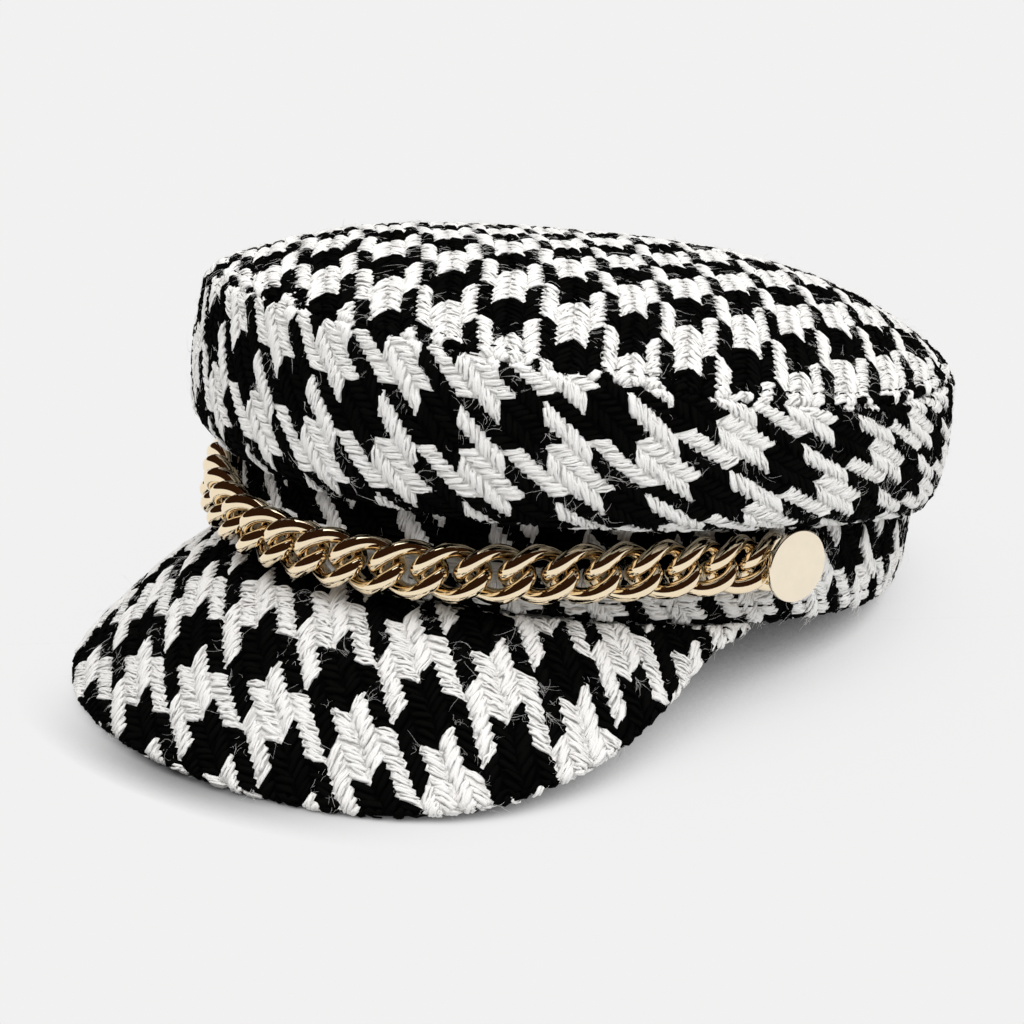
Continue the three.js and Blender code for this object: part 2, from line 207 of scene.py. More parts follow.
def new_piece(name, points, faces, uv_name, uv, material, shades=None):
    """A mesh from points in metres and faces, with one uv for each corner of each face in turn."""
    mesh = bpy.data.meshes.new(name)
    mesh.from_pydata(points.tolist(), [], faces)
    layer = mesh.uv_layers.new(name=uv_name)
    layer.data.foreach_set("uv", np.asarray(uv, np.float32).ravel())
    if shades is not None:
        attribute = mesh.attributes.new("shade", "FLOAT", "POINT")
        attribute.data.foreach_set("value", np.asarray(shades, np.float32))
    mesh.polygons.foreach_set("use_smooth", np.ones(len(mesh.polygons), bool))
    mesh.materials.append(material)
    mesh.update()
    piece = bpy.data.objects.new(name, mesh)
    bpy.context.scene.collection.objects.link(piece)
    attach(piece, "root")
    return piece


def sewn_shell(name, panel, wall, material):
    """The panel's ground cloth: a closed shell just under its yarns."""
    count, size = panel["points"].shape[:2]
    outside = panel["points"] - panel["normals"] * YARN_BED
    inside = panel["points"] - panel["normals"] * wall
    index = np.arange(count * size).reshape(count, size)
    twin = count * size
    quads = [panel["quads"], panel["quads"][:, ::-1] + twin]
    foot, top = index[:, 0], index[:, -1]
    quads.append(np.stack([foot[1:], foot[:-1], foot[:-1] + twin, foot[1:] + twin], -1))
    quads.append(np.stack([top[:-1], top[1:], top[1:] + twin, top[:-1] + twin], -1))
    if not panel["closed"]:
        first, last = index[0], index[-1]
        quads.append(np.stack([first[:-1], first[1:], first[1:] + twin, first[:-1] + twin], -1))
        quads.append(np.stack([last[1:], last[:-1], last[:-1] + twin, last[1:] + twin], -1))
    quads = np.concatenate(quads)
    merged = np.arange(2 * twin)
    if panel["closed"]:
        merged[index[-1]] = index[0]
        merged[index[-1] + twin] = index[0] + twin
    kept = np.unique(merged)
    place = np.searchsorted(kept, merged)
    points = np.concatenate([outside.reshape(-1, 3), inside.reshape(-1, 3)])[kept]
    counts = np.tile(panel["threads"].reshape(-1, 2), (2, 1))
    return new_piece(name, stand(points), place[quads].tolist(), "threads", counts[quads], material)


def yarn_tubes(name, centres, ups, half_width, half_height, corners, material, shades, ragged=0.0):
    """Short closed tubes, all joined in one mesh: centres and ups are [yarn, station, xyz] in mm, and
    corners are the angles of the tube's corners, clockwise from the top."""
    number, stations = centres.shape[:2]
    around = len(corners)
    uneven = 1 + ragged * np.random.default_rng(number).normal(0, 1, (number, stations, around))
    run = np.gradient(centres, axis=1)
    run /= np.linalg.norm(run, axis=-1, keepdims=True)
    across = np.cross(run, ups)
    across /= np.linalg.norm(across, axis=-1, keepdims=True)
    above = np.cross(across, run)
    turn = np.radians(corners)
    wide = across[:, :, None] * (half_width[..., None] * np.cos(turn) * uneven)[..., None]
    high = above[:, :, None] * (half_height[..., None] * np.sin(turn) * uneven)[..., None]
    points = centres[:, :, None] + wide + high
    index = np.arange(number * stations * around).reshape(number, stations, around)
    here, ahead = index[:, :-1], index[:, 1:]
    turned = np.roll(index, -1, axis=2)
    quads = np.stack([here, turned[:, :-1], turned[:, 1:], ahead], -1).reshape(-1, 4)
    faces = quads.tolist() + index[:, 0, ::-1].tolist() + index[:, -1].tolist()
    far = lengths_along(centres, 1)
    uv = np.empty((number, stations, around, 2))
    uv[..., 0] = far[..., None]
    uv[..., 1] = np.arange(around) / around
    uv = uv.reshape(-1, 2)
    corner_uv = uv[quads]
    corner_uv[:, [1, 2], 1] += np.where(corner_uv[:, [1, 2], 1] < corner_uv[:, [0, 3], 1], 1, 0)
    ends = np.concatenate([index[:, 0, ::-1].reshape(-1), index[:, -1].reshape(-1)])
    uv_all = np.concatenate([corner_uv.reshape(-1, 2), uv[ends]])
    shade = np.repeat(shades, stations * around)
    return new_piece(name, stand(points.reshape(-1, 3)), faces, "yarn", uv_all, material, shade)


def laid_yarns(name, panel, white, draw, material):
    """The floats of one colour, each over four threads and under four, and where their strands end
    against the other colour. A white float is three loose strands; a black one shows as a single yarn."""
    low = np.floor(panel["threads"].reshape(-1, 2).min(0)).astype(int) - FLOAT_THREADS
    high = np.ceil(panel["threads"].reshape(-1, 2).max(0)).astype(int) + FLOAT_THREADS
    i, j = np.meshgrid(np.arange(low[0], high[0]), np.arange(low[1], high[1]), indexing="ij")
    phase = (i + j + TWILL_STEP) % (2 * FLOAT_THREADS)
    warp = (phase == 0) & ((i % THREADS_PER_REPEAT < WHITE_THREADS) == white)
    weft = (phase == FLOAT_THREADS) & ((j % THREADS_PER_REPEAT < WHITE_THREADS) == white)
    starts = np.concatenate([np.stack([i[warp], j[warp]], -1), np.stack([i[weft], j[weft]], -1)])
    starts = starts.astype(float)
    is_warp = np.arange(len(starts)) < warp.sum()
    yarn = WHITE_FLOAT if white else BLACK_FLOAT
    strands = yarn["strands"]
    stations = yarn["stations"]
    floats = len(starts)
    number = floats * strands

    def for_each(spread, own):
        """A draw for each float, shared by its strands, and a little more for each strand."""
        return np.repeat(draw.normal(0, spread, floats), strands) + draw.normal(0, own, number)

    starts = np.repeat(starts, strands, 0)
    is_warp = np.repeat(is_warp, strands)
    place_in_float = np.tile(np.arange(strands) - (strands - 1) / 2, floats)
    low_end = -yarn["past"] + for_each(0.26, yarn["uneven"])
    high_end = FLOAT_THREADS + yarn["past"] + for_each(0.26, yarn["uneven"])
    beside = 0.5 + STRAND_SPACING * place_in_float + for_each(0.1, 0.07)
    slant = for_each(0.07, 0.04)
    bend = draw.normal(0, 0.13, (number, stations))
    size = np.exp(for_each(0.12, yarn["varied"]))
    lifted = for_each(0.1, yarn["lifted"])

    def spots_between(start, end, count):
        t = np.linspace(0, 1, count)
        far = start[:, None] + (end - start)[:, None] * t
        side = beside[:, None] + slant[:, None] * (far - FLOAT_THREADS / 2)
        along_warp = np.stack([starts[:, :1] + side, starts[:, 1:] + far], -1)
        along_weft = np.stack([starts[:, :1] + far, starts[:, 1:] + side], -1)
        return np.where(is_warp[:, None, None], along_warp, along_weft), far

    spots, far = spots_between(low_end, high_end, 11)
    inside = on_cloth(panel, spots.reshape(-1, 2))[2].reshape(far.shape)
    first = np.argmax(inside, 1)
    last = far.shape[1] - 1 - np.argmax(inside[:, ::-1], 1)
    rows = np.arange(number)
    spots, far = spots_between(far[rows, first], far[rows, last], stations)
    points, normals, fits = on_cloth(panel, spots.reshape(-1, 2))
    long_enough = (far[:, -1] - far[:, 0] > SHORTEST_FLOAT) & (last > first)
    kept = long_enough & fits.reshape(number, stations).all(1)
    points = points.reshape(number, stations, 3)[kept]
    normals = normals.reshape(number, stations, 3)[kept]
    far, size, lifted = far[kept], size[kept], lifted[kept]
    middle = np.abs(far / FLOAT_THREADS - 0.5) * 2
    rise = np.clip(1 - middle ** 3.2, -1, 1)
    lift = FLOAT_FOOT + FLOAT_RISE * rise + lifted[:, None]
    full = np.clip(1.12 - 0.55 * middle ** 4, 0.3, 1)
    lay = lengths_along(points, 1)[:, -1] / (far[:, -1] - far[:, 0])
    half_width = full * (yarn["half_width"] * lay * size)[:, None]
    half_height = full * (yarn["half_height"] * size)[:, None]
    aside = np.cross(np.gradient(points, axis=1), normals)
    aside /= np.linalg.norm(aside, axis=-1, keepdims=True)
    centres = points + normals * lift[..., None] + aside * (bend[kept] * lay[:, None])[..., None]
    shades = draw.uniform(0, 1, len(centres))
    yarns = yarn_tubes(
        name, centres, normals, half_width, half_height, STRAND_CORNERS, material, shades, ragged=0.08
    )
    crossing = np.where(is_warp, starts[:, 1], starts[:, 0])[kept]
    beyond = np.concatenate([crossing - 1, crossing + FLOAT_THREADS]) % THREADS_PER_REPEAT
    edge = (beyond < WHITE_THREADS) != white
    roots = np.concatenate([points[:, 0], points[:, -1]])[edge]
    headings = np.concatenate([centres[:, 0] - centres[:, 1], centres[:, -1] - centres[:, -2]])[edge]
    return yarns, (roots, headings, np.concatenate([normals[:, 0], normals[:, -1]])[edge])


def new_material(name, roughness):
    material = bpy.data.materials.new(name)
    material.use_nodes = True
    shader = material.node_tree.nodes["Principled BSDF"]
    shader.inputs["Roughness"].default_value = roughness
    return material, material.node_tree, shader


def feed(tree, socket, value):
    if isinstance(value, bpy.types.NodeSocket):
        tree.links.new(value, socket)
    else:
        socket.default_value = value


def sum_node(tree, operation, *values):
    node = tree.nodes.new("ShaderNodeMath")
    node.operation = operation
    for socket, value in zip(node.inputs, values):
        feed(tree, socket, value)
    return node.outputs[0]


def colour_between(tree, share, one, other):
    node = tree.nodes.new("ShaderNodeMix")
    node.data_type = "RGBA"
    feed(tree, node.inputs["Factor"], share)
    feed(tree, node.inputs["A"], one)
    feed(tree, node.inputs["B"], other)
    return node.outputs["Result"]


def relief(tree, shader, height, strength, distance):
    bump = tree.nodes.new("ShaderNodeBump")
    bump.inputs["Strength"].default_value = strength
    bump.inputs["Distance"].default_value = distance
    tree.links.new(height, bump.inputs["Height"])
    tree.links.new(bump.outputs["Normal"], shader.inputs["Normal"])


def uv_pair(tree, name):
    uv = tree.nodes.new("ShaderNodeUVMap")
    uv.uv_map = name
    split = tree.nodes.new("ShaderNodeSeparateXYZ")
    tree.links.new(uv.outputs["UV"], split.inputs["Vector"])
    return split.outputs["X"], split.outputs["Y"]


def yarn_finish(name, dark, light, sheen):
    """Soft two-ply wool: the plies wind round the yarn, fine fibres run along it, and painted shade darkens the
    grooves between the plies.
    """
    material, tree, shader = new_material(name, 1.0)
    along, turn = uv_pair(tree, "yarn")
    shade = tree.nodes.new("ShaderNodeAttribute")
    shade.attribute_name = "shade"
    wind = sum_node(tree, "ADD", sum_node(tree, "MULTIPLY", along, 0.55), turn)
    ply = sum_node(tree, "ABSOLUTE", sum_node(tree, "SINE", sum_node(tree, "MULTIPLY", wind, math.tau)))
    place = tree.nodes.new("ShaderNodeCombineXYZ")
    tree.links.new(sum_node(tree, "MULTIPLY", along, 0.9), place.inputs["X"])
    tree.links.new(sum_node(tree, "MULTIPLY", turn, 14.0), place.inputs["Y"])
    tree.links.new(sum_node(tree, "MULTIPLY", shade.outputs["Fac"], 90.0), place.inputs["Z"])
    fibres = tree.nodes.new("ShaderNodeTexNoise")
    fibres.inputs["Scale"].default_value = 1.6
    fibres.inputs["Detail"].default_value = 3.0
    tree.links.new(place.outputs["Vector"], fibres.inputs["Vector"])
    height = sum_node(tree, "MULTIPLY_ADD", ply, 0.5, fibres.outputs["Fac"])
    # painted shade: the colour is lighter on the plies' crests and darker in the grooves between them, following
    # the same ply ridges as the bump
    painted_ply_shade = sum_node(tree, "MULTIPLY", ply, 0.2)
    mixed = sum_node(tree, "MULTIPLY_ADD", fibres.outputs["Fac"], 0.7, painted_ply_shade)
    mixed = sum_node(tree, "MULTIPLY_ADD", shade.outputs["Fac"], 0.35, mixed)
    tree.links.new(colour_between(tree, mixed, dark, light), shader.inputs["Base Color"])
    shader.inputs["Specular IOR Level"].default_value = 0.02
    shader.inputs["Sheen Weight"].default_value = sheen
    shader.inputs["Sheen Roughness"].default_value = 0.6
    relief(tree, shader, height, 0.28, 0.0003)
    return material


def cloth_finish(name, dark, light):
    """The ground cloth: the same houndstooth, thread by thread, in shade between the yarns."""
    material, tree, shader = new_material(name, 0.95)
    i, j = uv_pair(tree, "threads")
    warp = sum_node(tree, "FLOOR", i)
    weft = sum_node(tree, "FLOOR", j)
    step = sum_node(tree, "ADD", sum_node(tree, "ADD", warp, weft), float(TWILL_STEP))
    phase = sum_node(tree, "FLOORED_MODULO", step, 2.0 * FLOAT_THREADS)
    warp_up = sum_node(tree, "LESS_THAN", phase, float(FLOAT_THREADS))
    warp_place = sum_node(tree, "FLOORED_MODULO", warp, float(THREADS_PER_REPEAT))
    weft_place = sum_node(tree, "FLOORED_MODULO", weft, float(THREADS_PER_REPEAT))
    white_warp = sum_node(tree, "LESS_THAN", warp_place, float(WHITE_THREADS))
    white_weft = sum_node(tree, "LESS_THAN", weft_place, float(WHITE_THREADS))
    gain = sum_node(tree, "SUBTRACT", white_warp, white_weft)
    white = sum_node(tree, "MULTIPLY_ADD", gain, warp_up, white_weft)
    tree.links.new(colour_between(tree, white, dark, light), shader.inputs["Base Color"])
    across_warp = sum_node(tree, "SINE", sum_node(tree, "MULTIPLY", sum_node(tree, "FRACT", i), math.pi))
    across_weft = sum_node(tree, "SINE", sum_node(tree, "MULTIPLY", sum_node(tree, "FRACT", j), math.pi))
    change = sum_node(tree, "SUBTRACT", across_warp, across_weft)
    height = sum_node(tree, "MULTIPLY_ADD", change, warp_up, across_weft)
    shader.inputs["Specular IOR Level"].default_value = 0.02
    relief(tree, shader, height, 0.8, 0.0006)
    return material


WHITE_YARN = yarn_finish("white_wool_yarn", (0.82, 0.81, 0.785, 1), (0.97, 0.968, 0.952, 1), 0.1)
BLACK_YARN = yarn_finish("black_wool_yarn", (0.0008, 0.0008, 0.0009, 1), (0.004, 0.0039, 0.0036, 1), 0.0)
GROUND_CLOTH = cloth_finish("tweed_ground_cloth", (0.0015, 0.0015, 0.0015, 1), (0.9, 0.89, 0.865, 1))
white_ends = []
black_ends = []


def thread_counts(flat, check, across, up):
    """Thread counts from flat places: a white check's middle lies at half the white threads, and the cloth
    repeats along the lines across and up."""
    repeats = (flat - np.array(check)) @ np.linalg.inv(np.stack([across, up], -1)).T
    return repeats * THREADS_PER_REPEAT + WHITE_THREADS / 2


def drawn_out(threads, drawn_from, aside, upward):
    """Thread counts of cloth that was drawn into soft curves over the block."""
    across, up = np.moveaxis(threads / THREADS_PER_REPEAT - np.array(drawn_from), -1, 0)
    across = np.clip(across, *DRAWN_REACH)
    bends = np.stack([across * across, across * up, up * up], -1)
    return threads + np.stack([bends @ np.array(aside), bends @ np.array(upward)], -1)


def cloth_pieces(name, node, panel, face, seed, wall=CLOTH_WALL):
    shell = sewn_shell(name, panel, wall, GROUND_CLOTH)
    white_draw = np.random.default_rng(seed)
    black_draw = np.random.default_rng(seed + 1)
    white, loose_white = laid_yarns(name + "_white_yarn", face, True, white_draw, WHITE_YARN)
    black, loose_black = laid_yarns(name + "_black_yarn", face, False, black_draw, BLACK_YARN)
    white_ends.append(loose_white)
    black_ends.append(loose_black)
    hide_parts(node)


side_places = np.concatenate([np.linspace(0, 5, 41), np.linspace(5, 6, 19)[1:]])
around, places = np.meshgrid(ANGLES_ROUND, side_places, indexing="ij")
side_wall = crown_wall(around, places)
side_up = lengths_along(side_wall, 1)
below_seam = side_up[:, -1:] - side_up
side_relief = -SEAM_DEPTH * bell(below_seam, SEAM_WIDTH)
side_relief = side_relief + SIDE_SWELL * bell(below_seam - SIDE_SWELL_AT, SIDE_SWELL_WIDTH)
side_points = side_wall + outward(side_wall, True) * side_relief[..., None]
girth = lengths_along(crown_wall(ANGLES_ROUND, np.full(len(ANGLES_ROUND), 4.0)), 0)
girth -= girth[len(girth) // 2]
side_up -= side_up[:, [np.argmin(np.abs(side_places - 2))]]
strip_turn = np.clip(SIDE_STRIP_BEND * girth, -SIDE_STRIP_MOST, SIDE_STRIP_MOST)
girth_step = np.gradient(girth)
strip_along = np.cumsum(np.cos(strip_turn) * girth_step)
strip_down = np.cumsum(np.sin(strip_turn) * girth_step)
strip_along -= strip_along[len(girth) // 2]
strip_down -= strip_down[len(girth) // 2]
side_flat = np.stack(
    [
        strip_along[:, None] + side_up * np.sin(strip_turn)[:, None],
        side_up * np.cos(strip_turn)[:, None] - strip_down[:, None],
    ],
    -1,
)
side_threads = thread_counts(side_flat, SIDE_CHECK, SIDE_REPEAT_ACROSS, SIDE_REPEAT_UP)
side_threads = drawn_out(side_threads, SIDE_DRAWN_FROM, SIDE_DRAWN_ASIDE, SIDE_DRAWN_UPWARD)
side_panel = cloth_panel(side_points, side_flat, side_threads, True)
seen = side_places > SIDE_SEEN_FROM
side_face = cloth_panel(side_points[:, seen], side_flat[:, seen], side_threads[:, seen], True)
cloth_pieces("crown_side_cloth", "crown_side", side_panel, side_face, 11)


# Crown top: the flat-domed oval panel of the same tweed, sewn to the side at the shoulder. The seam
# lies in a groove, with a row of stitching a few millimetres in that holds the turned-in edge down.
DOME_RISE = 21.4
DOME_ROUNDING = 3.4
TOP_STITCH_IN = 4.6
TOP_STITCH_DEPTH = 0.3
TOP_STITCH_WIDTH = 0.8
TOP_EDGE_SWELL = 0.5
TOP_EDGE_SWELL_AT = 2.3
TOP_EDGE_SWELL_WIDTH = 1.2
TOP_SWELL = 0.4
TOP_SWELL_AT = 7.2
TOP_SWELL_WIDTH = 2.2
TOP_CHECK = (63.5, 5.9)
TOP_REPEAT_ACROSS = (24.2, -2.2)
TOP_REPEAT_UP = (-3.9, 26.9)
TOP_DRAWN_FROM = (-1.0, -1.9)
TOP_DRAWN_ASIDE = (-0.45, -0.1, 0.27)
TOP_DRAWN_UPWARD = (0.5, 0.0, 0.23)


def crown_dome(angle, share):
    w, l, centre, egg, front, side, back = CROWN_SECTIONS[-1]
    c = np.cos(angle)
    middle = (front + 2 * side + back) / 4
    level = middle + (height_round(front, side, back, angle) - middle) * share
    x = w * share * np.sin(angle) * (1 + egg * share * c)
    return np.stack([x, centre - l * share * c, level + DOME_RISE * (1 - share ** DOME_ROUNDING)], -1)


top_shares = 1 - np.concatenate([np.linspace(0, 0.09, 19), np.linspace(0.1, 0.998, 34)])
around, shares = np.meshgrid(ANGLES_ROUND, top_shares, indexing="ij")
dome = crown_dome(around, shares)
from_seam = lengths_along(dome, 1)
seam_groove = -SEAM_DEPTH * bell(from_seam, SEAM_WIDTH)
edge_swell = TOP_EDGE_SWELL * bell(from_seam - TOP_EDGE_SWELL_AT, TOP_EDGE_SWELL_WIDTH)
stitch_groove = -TOP_STITCH_DEPTH * bell(from_seam - TOP_STITCH_IN, TOP_STITCH_WIDTH)
inner_swell = TOP_SWELL * bell(from_seam - TOP_SWELL_AT, TOP_SWELL_WIDTH)
top_relief = (seam_groove + edge_swell) + (stitch_groove + inner_swell)
top_points = dome + outward(dome, True) * top_relief[..., None]
plan = dome[..., :2] - np.array([0, CROWN_SECTIONS[-1][2]])
reach = np.linalg.norm(plan, axis=-1)
to_middle = from_seam[:, -1:] - from_seam + reach[:, -1:]
top_flat = plan * (to_middle / reach)[..., None]
top_threads = thread_counts(top_flat, TOP_CHECK, TOP_REPEAT_ACROSS, TOP_REPEAT_UP)
top_threads = drawn_out(top_threads, TOP_DRAWN_FROM, TOP_DRAWN_ASIDE, TOP_DRAWN_UPWARD)
top_panel = cloth_panel(top_points, top_flat, top_threads, True)
cloth_pieces("crown_top_cloth", "crown_top", top_panel, top_panel, 21)


# Headband: the upright oval band of tweed that the head goes into. Its lower edge is turned in and
# held by a row of stitching, and the crown rolls over its upper part.
BAND_HALF_WIDTH = 82.8
BAND_HALF_LENGTH = 106.5
BAND_CENTRE = -0.3
# inset, height at the front, at the side and at the back
BAND_SECTIONS = [(3, 0.3, 0.3, 0.3), (1.1, 4.5, 4.5, 4.5), (0, 10, 10, 11), (0, 36, 40, 34)]
BAND_STITCH_HEIGHT = 5.9
BAND_STITCH_DEPTH = 0.8
BAND_STITCH_WIDTH = 0.9
BAND_CHECK = (5.3, 8.2)
BAND_REPEAT_ACROSS = (25.0, 0.0)
BAND_REPEAT_UP = (0.0, 25.2)


def band_oval(angle, growth, height):
    x = (BAND_HALF_WIDTH + growth) * np.sin(angle)
    y = BAND_CENTRE - (BAND_HALF_LENGTH + growth) * np.cos(angle)
    return np.stack([x, y, height + 0 * angle], -1)


band_places = np.concatenate([np.linspace(0, 2, 13), np.linspace(2.1, 3, 13)])
around, places = np.meshgrid(ANGLES_ROUND, band_places, indexing="ij")
inset, front, side, back = np.moveaxis(smooth_row(BAND_SECTIONS, places), -1, 0)
band_wall = band_oval(around, -inset, height_round(front, side, back, around))
band_relief = -BAND_STITCH_DEPTH * bell(band_wall[..., 2] - BAND_STITCH_HEIGHT, BAND_STITCH_WIDTH)
band_points = band_wall + outward(band_wall, True) * band_relief[..., None]
band_girth = lengths_along(band_oval(ANGLES_ROUND, 0, 0), 0)
band_girth -= band_girth[len(band_girth) // 2]
band_flat = np.stack([np.broadcast_to(band_girth[:, None], around.shape), lengths_along(band_wall, 1)], -1)
band_threads = thread_counts(band_flat, BAND_CHECK, BAND_REPEAT_ACROSS, BAND_REPEAT_UP)
band_panel = cloth_panel(band_points, band_flat, band_threads, True)
cloth_pieces("headband_cloth", "headband", band_panel, band_panel, 31)


# Peak: the stiff visor under the front of the headband, a board covered with the same tweed laid the
# other way up, bowed a little and wrapped round its outer edge. It stands on the table.
# angle round the band, then the outer edge's x, y, z and the thickness there
PEAK_STATIONS = [
    (0, 0, -139.9, -51, 3.4),
    (15, 31.2, -136.5, -50.2, 3.4),
    (30, 58.4, -126.2, -47, 3.4),
    (45, 78, -108.5, -40.3, 3.4),
    (59, 87.3, -82, -29.2, 3.4),
    (68, 87, -59, -17.5, 3),
    (75, 82.6, -37, -5.5, 2.4),
    (80, 80.5, -22.5, -1.8, 1.8),
]
PIECE_GAP = 0.3
PEAK_BOW = 6.0
PEAK_EDGE_ROUND = 1.2
PEAK_SEAT_INSET = 3.0
PEAK_SEAT_SHARE = 0.15
PEAK_SEAT_LIFT = 0.45
# how far in and up the cloth runs on inside the band
PEAK_SEWN_IN = ((2.0, 0.0), (5.0, 0.6), (6.0, 2.4))
PEAK_CHECK = (13.9, -12.4)
PEAK_REPEAT_ACROSS = (-25.5, -1.7)
PEAK_REPEAT_UP = (2.4, -29.4)
PEAK_DRAWN_FROM = (-0.4, 0.5)
PEAK_DRAWN_ASIDE = (0.16, -1.23, -0.12)
PEAK_DRAWN_UPWARD = (-0.06, 0.44, 0.26)
PEAK_WALL = 1.6
peak_rows = np.array(PEAK_STATIONS, float)
peak_rows = np.concatenate([peak_rows[:0:-1] * (-1, -1, 1, 1, 1), peak_rows])
peak_places = np.linspace(0, len(peak_rows) - 1, 145)
peak_angles = smooth_row(peak_rows, peak_places)[:, 0]


def peak_middle(place, share):
    """The board's middle from the seat (share 0) to the edge (share 1), the way through it to its face, and the
    way out along it."""
    angle, x, y, z, thick = np.moveaxis(smooth_row(peak_rows, place), -1, 0)
    angle = np.radians(angle)
    seat = band_oval(angle, -PEAK_SEAT_INSET, -PIECE_GAP)
    run = np.stack([x, y, z], -1) - seat
    side = np.stack([np.cos(angle), np.sin(angle), 0 * angle], -1)
    through = np.cross(run, side)
    through /= np.linalg.norm(through, axis=-1, keepdims=True)
    through *= np.sign(through[..., 2:])
    middle = seat + run * share[..., None]
    middle[..., 2] += PEAK_BOW * np.cos(angle) * np.sin(math.pi * share)
    return middle, through * thick[..., None] / 2, run / np.linalg.norm(run, axis=-1, keepdims=True)


def unrolled(seat, edge):
    """The seat and edge lines laid flat, triangle by triangle from the middle of the front."""
    count = len(seat)
    front = count // 2
    flat_seat = np.zeros((count, 2))
    flat_edge = np.zeros((count, 2))
    flat_edge[front] = (0, -np.linalg.norm(edge[front] - seat[front]))

    def third_corner(a, b, from_a, from_b, side):
        gap = np.linalg.norm(b - a)
        ahead = (b - a) / gap
        along = (from_a ** 2 - from_b ** 2 + gap ** 2) / (2 * gap)
        beside = math.sqrt(max(from_a ** 2 - along ** 2, 0))
        return a + ahead * along + np.array([-ahead[1], ahead[0]]) * beside * side

    for way in (1, -1):
        for step in range(front):
            here = front + way * step
            there = here + way
            flat_seat[there] = third_corner(
                flat_seat[here],
                flat_edge[here],
                np.linalg.norm(seat[there] - seat[here]),
                np.linalg.norm(seat[there] - edge[here]),
                way,
            )
            flat_edge[there] = third_corner(
                flat_edge[here],
                flat_seat[there],
                np.linalg.norm(edge[there] - edge[here]),
                np.linalg.norm(edge[there] - seat[there]),
                -way,
            )
    return flat_seat, flat_edge


under_shares = np.linspace(0, 1, 14)
rim_turns = np.radians(np.linspace(-90, 90, 9)[1:-1])
over_shares = np.linspace(1, 0, 30)
row_shares = np.concatenate([under_shares, np.ones(len(rim_turns)), over_shares])
row_reach = np.concatenate([0 * under_shares, np.cos(rim_turns), 0 * over_shares])
seat_lift = PEAK_SEAT_LIFT + (1 - PEAK_SEAT_LIFT) * np.clip(over_shares / PEAK_SEAT_SHARE, 0, 1)
row_side = np.concatenate([0 * under_shares - 1, np.sin(rim_turns), seat_lift])
around, shares = np.meshgrid(peak_places, row_shares, indexing="ij")
middle, through, run = peak_middle(around, shares)
peak_points = middle + through * row_side[:, None] + run * (row_reach * PEAK_EDGE_ROUND)[:, None]
peak_turns = np.radians(peak_angles)
into_band = np.stack([-np.sin(peak_turns), np.cos(peak_turns), 0 * peak_turns], -1)
sewn_in = [peak_points[:, -1] + into_band * far + np.array([0, 0, up]) for far, up in PEAK_SEWN_IN]
peak_points = np.concatenate([peak_points, np.stack(sewn_in, 1)], 1)
edge_row = len(under_shares) + len(rim_turns)
seat_row = edge_row + len(over_shares) - 1
flat_seat, flat_edge = unrolled(peak_points[:, seat_row], peak_points[:, edge_row])
peak_up = lengths_along(peak_points, 1)
past_edge = (peak_up - peak_up[:, [edge_row]]) / (peak_up[:, [seat_row]] - peak_up[:, [edge_row]])
peak_flat = flat_edge[:, None] + (flat_seat - flat_edge)[:, None] * past_edge[..., None]
peak_threads = thread_counts(peak_flat, PEAK_CHECK, PEAK_REPEAT_ACROSS, PEAK_REPEAT_UP)
peak_threads = drawn_out(peak_threads, PEAK_DRAWN_FROM, PEAK_DRAWN_ASIDE, PEAK_DRAWN_UPWARD)
peak_panel = cloth_panel(peak_points, peak_flat, peak_threads, False)
shown = slice(len(under_shares) + 1, seat_row + 1)
peak_face = cloth_panel(peak_points[:, shown], peak_flat[:, shown], peak_threads[:, shown], False)
cloth_pieces("peak_cloth", "peak", peak_panel, peak_face, 41, PEAK_WALL)


# Stitching: rows of black sewing thread along the top panel's edge and the headband's lower edge. Each
# stitch is a short thread pulled down at its ends, half sunk in the wool.
STITCH_LENGTH = 2.2
STITCH_GAP = 1.4
STITCH_THREAD = 0.24
STITCH_PULL = 0.5
STITCH_CORNERS = (90, 0, -90, -180)


def stitch_row(name, line, ups, rise):
    far = lengths_along(line, 0)
    starts = np.arange(0, far[-1] - STITCH_LENGTH, STITCH_LENGTH + STITCH_GAP)
    t = np.linspace(0, 1, 5)
    at = starts[:, None] + t * STITCH_LENGTH
    centres = np.stack([np.interp(at, far, line[:, k]) for k in range(3)], -1)
    out = np.stack([np.interp(at, far, ups[:, k]) for k in range(3)], -1)
    centres += out * (rise - STITCH_PULL * (2 * t - 1) ** 4)[:, None]
    thick = np.full(at.shape, STITCH_THREAD)
    shades = np.random.default_rng(5).uniform(0, 1, len(starts))
    row = yarn_tubes(name, centres, out, thick, thick, STITCH_CORNERS, BLACK_YARN, shades)


stitch_place = np.argmin(np.abs(from_seam.mean(0) - TOP_STITCH_IN))
stitch_row("crown_top_stitching", top_points[:, stitch_place], top_panel["normals"][:, stitch_place], 0.1)
stitch_place = np.argmin(np.abs(band_wall[0, :, 2] - BAND_STITCH_HEIGHT))
stitch_row("headband_stitching", band_points[:, stitch_place], band_panel["normals"][:, stitch_place], 0.0)


# Loose fibres: fine wool hairs that stand out of the yarns in wisps where one colour meets the other, a
# short fuzz at the ends of the white yarns, long curled white hairs over the black, and a few black ones.
FIBRE_CORNERS = (90, -30, -150)


